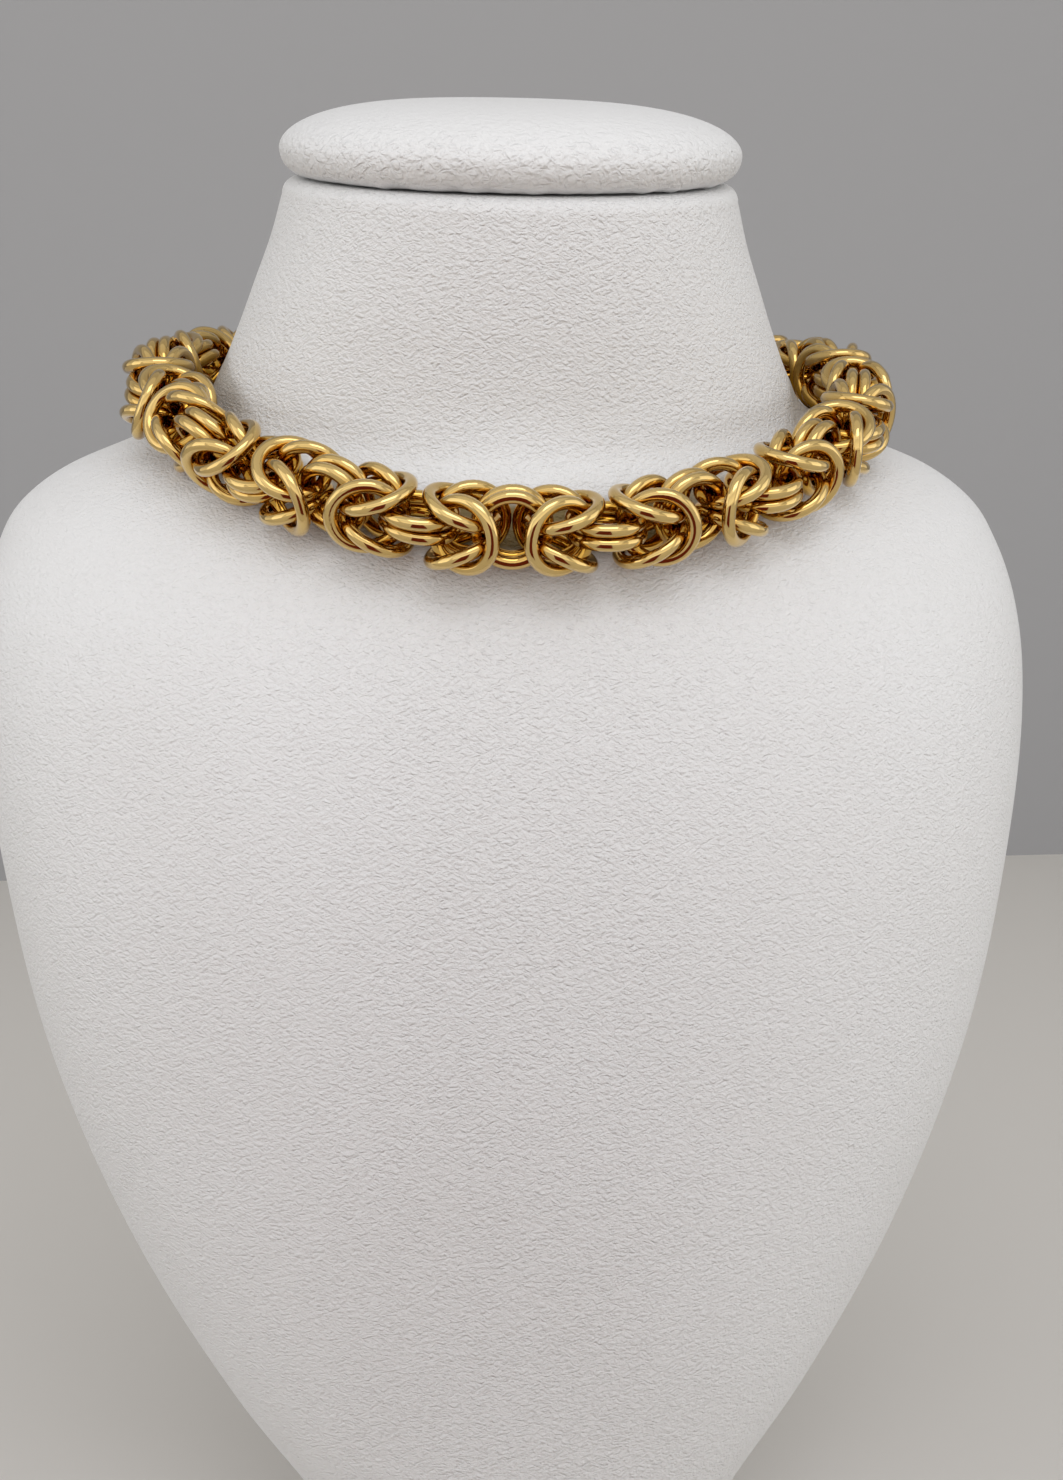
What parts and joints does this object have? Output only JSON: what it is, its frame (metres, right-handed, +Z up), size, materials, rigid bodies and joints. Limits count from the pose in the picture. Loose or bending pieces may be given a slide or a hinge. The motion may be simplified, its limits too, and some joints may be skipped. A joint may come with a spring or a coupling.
{
  "type": "byzantine chain choker on a neck bust",
  "caption": "Thick byzantine link chain with a clasp, worn as a choker round the neck of a padded leatherette display bust with a round neck cap and a flat foot.",
  "frame": {"origin": "middle of the whole part's box in X and Y, at the bottom of the bust's foot", "axes": "+Z up, the chest and throat face -Y, +X to the right of someone looking at the chest"},
  "size_m": [0.214, 0.1468, 0.3026],
  "materials": {
    "leatherette": "fine pebbled grain, satin, off-white",
    "gold": "polished, gold-plated"
  },
  "bodies": {
    "root": {"bust_body": "leatherette", "neck_cap": "leatherette", "chain": "gold", "clasp": "gold"}
  },
  "joints": []
}
